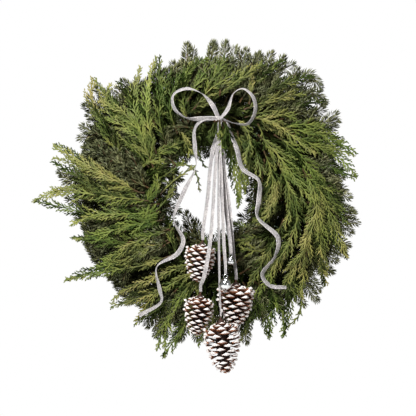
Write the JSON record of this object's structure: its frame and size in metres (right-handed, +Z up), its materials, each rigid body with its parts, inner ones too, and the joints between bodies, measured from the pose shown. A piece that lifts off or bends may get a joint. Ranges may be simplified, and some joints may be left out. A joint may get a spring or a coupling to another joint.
{
  "type": "fresh evergreen wreath",
  "caption": "Round wreath of fir and cedar greens clamped on a wire ring, with a ribbon bow whose streamers carry pine cones and jingle bells.",
  "frame": {"origin": "the point under the ring's outer rail, at the top of the ring, where the rail hangs on its nail", "axes": "+Z up, +X to the viewer's right, +Y from the wreath toward the wall behind it, so the wreath faces -Y"},
  "size_m": [0.6567, 0.1648, 0.6567],
  "materials": {
    "green_wire": "thin satin green enamel over steel wire",
    "fir": "matt, slightly waxy dark green needles with a paler underside",
    "cedar": "matt, slightly waxy yellow-green scale leaves",
    "ribbon": "soft short-pile silver grey ribbon with a slight sheen",
    "pine_cone": "dry matt red-brown scales with frosted white tips",
    "silver": "bright plated metal"
  },
  "bodies": {
    "root": {"clamp_ring": "green_wire", "fir_bunch_01": "fir", "fir_bunch_02": "fir", "fir_bunch_03": "fir", "fir_bunch_04": "fir", "fir_bunch_05": "fir", "fir_bunch_06": "fir", "fir_bunch_07": "fir", "fir_bunch_08": "fir", "fir_bunch_09": "fir", "fir_bunch_10": "fir", "fir_bunch_11": "fir", "fir_bunch_12": "fir", "fir_bunch_13": "fir", "fir_bunch_14": "fir", "cedar_bunch_01": "cedar", "cedar_bunch_02": "cedar", "cedar_bunch_03": "cedar", "cedar_bunch_04": "cedar", "cedar_bunch_05": "cedar", "cedar_bunch_06": "cedar", "cedar_bunch_07": "cedar", "cedar_bunch_08": "cedar", "cedar_bunch_09": "cedar", "cedar_bunch_10": "cedar", "cedar_bunch_11": "cedar", "cedar_bunch_12": "cedar", "cedar_bunch_13": "cedar", "cedar_bunch_14": "cedar", "cedar_inner_frond_1": "cedar", "cedar_inner_frond_2": "cedar", "cedar_inner_frond_3": "cedar", "cedar_inner_frond_4": "cedar", "cedar_inner_frond_5": "cedar", "cedar_inner_frond_6": "cedar", "bow_ribbon": "ribbon", "bow_wire": "green_wire", "streamer_large_bell": "ribbon", "streamer_centre": "ribbon", "streamer_lower_left": "ribbon", "streamer_small_bell": "ribbon", "streamer_right": "ribbon", "streamer_upper_left": "ribbon", "pine_cone_upper_left": "pine_cone", "pine_cone_lower_left": "pine_cone", "pine_cone_centre": "pine_cone", "pine_cone_right": "pine_cone", "jingle_bell_large": "silver", "jingle_bell_large_pellet": "silver", "jingle_bell_small": "silver", "jingle_bell_small_pellet": "silver"}
  },
  "joints": []
}
